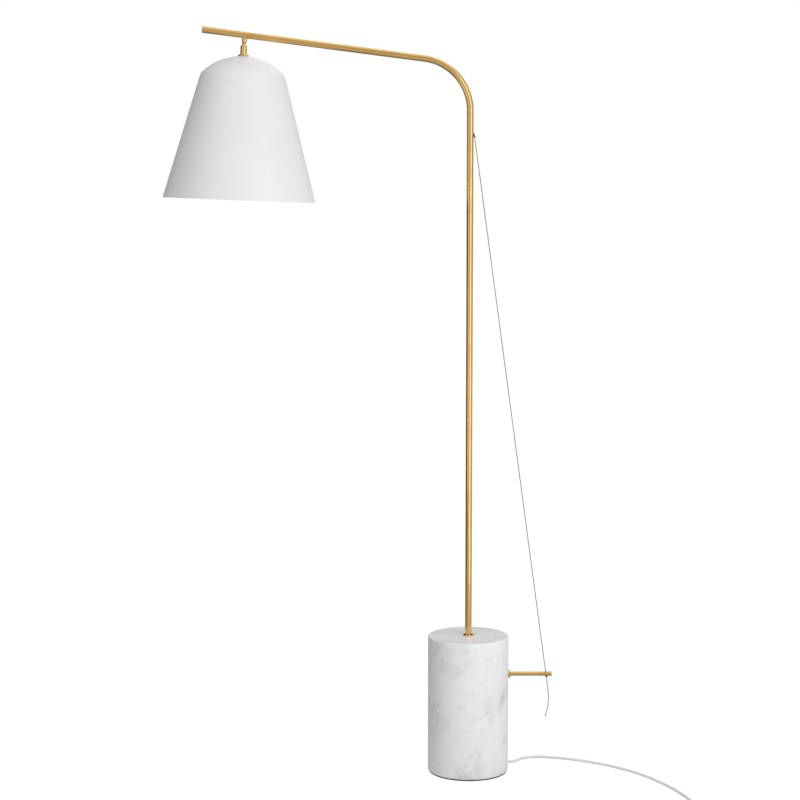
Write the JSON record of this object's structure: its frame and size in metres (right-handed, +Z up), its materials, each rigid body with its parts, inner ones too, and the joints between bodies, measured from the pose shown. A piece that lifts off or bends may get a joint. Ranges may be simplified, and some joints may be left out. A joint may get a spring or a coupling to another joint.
{
  "type": "floor lamp",
  "caption": "Floor lamp with a leaning bent stem on a round stone base, a steel stay wire run through a side peg, and a bell shade on a ball knuckle.",
  "frame": {"origin": "on the floor, at the axis of the round base", "axes": "+Z up along the stem; the arm and shade reach to -X, the side peg points to +X; Y is level across the lamp"},
  "size_m": [0.9733, 0.5368, 1.3779],
  "materials": {
    "marble": "honed white stone with soft grey veins",
    "satin_brass": "brushed satin",
    "white_powder_coat": "matte powder coat",
    "steel": "zinc-plated satin",
    "dark_steel": "blackened",
    "wire_rope": "twisted strands",
    "pad": "matte",
    "grommet": "matte",
    "white_cord": "smooth PVC",
    "lead": "smooth PVC",
    "white_plastic": "fine satin moulding",
    "grey_button": "satin moulding",
    "black_plastic": "moulded",
    "black_tie": "woven strap",
    "opal_glass": "opal"
  },
  "bodies": {
    "root": {"marble_base": "marble", "foot_pad": "pad", "bottom_plate": "steel", "tie_tube": "steel", "tie_washer": "steel", "tie_nut": "steel", "stem_socket": "steel", "stem_collar": "satin_brass", "pivot_pins": "steel", "peg_anchor": "satin_brass", "peg_flange": "satin_brass", "peg_rod": "satin_brass", "peg_sleeve": "satin_brass", "gripper_cap": "steel", "gripper_spring": "steel", "cord_grommet": "grommet", "cord_stop": "black_plastic", "inlet_cord": "white_cord", "terminal_block": "white_plastic", "base_lead": "lead", "cord": "white_cord", "switch_base": "white_plastic", "switch_cover": "white_plastic", "switch_spring": "steel", "switch_contacts": "black_plastic", "switch_screws": "steel", "switch_cord": "white_cord", "cord_coil": "white_cord", "coil_tie": "black_tie", "plug_cord": "white_cord", "plug_body": "white_plastic", "plug_pins": "steel"},
    "plunger": {"gripper_plunger": "dark_steel"},
    "stem": {"stem_foot": "steel", "stem_tube": "satin_brass", "arm_end_cap": "satin_brass", "arm_insert": "steel", "stud_saddle": "satin_brass", "stem_lead": "lead", "wire_anchor": "dark_steel", "anchor_pin": "steel"},
    "stay": {"wire_terminal": "steel", "stay_wire": "wire_rope", "wire_end_sleeve": "steel"},
    "stud": {"ball_stud": "satin_brass", "swivel_nut": "steel", "stud_lead": "lead"},
    "shade_head": {"ball_cup": "satin_brass", "hanger_nipple": "steel", "shade_flange": "satin_brass", "shade": "white_powder_coat", "hanger_nut": "steel", "shade_lead": "lead", "holder_cap": "white_plastic", "holder_body": "white_plastic", "holder_shell": "satin_brass", "holder_contact": "satin_brass", "bulb_cap": "steel", "bulb_glass": "opal_glass"},
    "button": {"switch_button": "grey_button"}
  },
  "joints": [
    {"name": "stem_lean", "type": "hinge", "parent": "root", "child": "stem", "pos_m": [0, 0, 0.248], "axis": [0, -1, 0], "range_deg": [-4, 8]},
    {"name": "stay_swing", "type": "hinge", "parent": "stem", "child": "stay", "pos_m": [0.0082, 0, 1.179], "axis": [0, -1, 0], "range_deg": [-0.72, 0.37]},
    {"name": "gripper_press", "type": "slide", "parent": "root", "child": "plunger", "axis": [-0.1702, 0, 0.9854], "range_m": [0, 0.0014], "stiffness_N_per_m": 400, "deforming": ["gripper_spring"]},
    {"name": "shade_swivel", "type": "hinge", "parent": "stem", "child": "stud", "pos_m": [-0.41007, 0, 1.3412], "axis": [0.1278, 0, 0.9918], "range_deg": [-160, 160]},
    {"name": "shade_tilt", "type": "hinge", "parent": "stud", "child": "shade_head", "pos_m": [-0.41007, 0, 1.3412], "axis": [0, 1, 0], "range_deg": [-20, 30]},
    {"name": "switch_press", "type": "slide", "parent": "root", "child": "button", "axis": [0, 0, -1], "range_m": [0, 0.0025], "stiffness_N_per_m": 600, "deforming": ["switch_spring"]}
  ],
  "couplings": [
    {"joint": "stay_swing", "follows": "stem_lean", "ratio": -0.088}
  ]
}
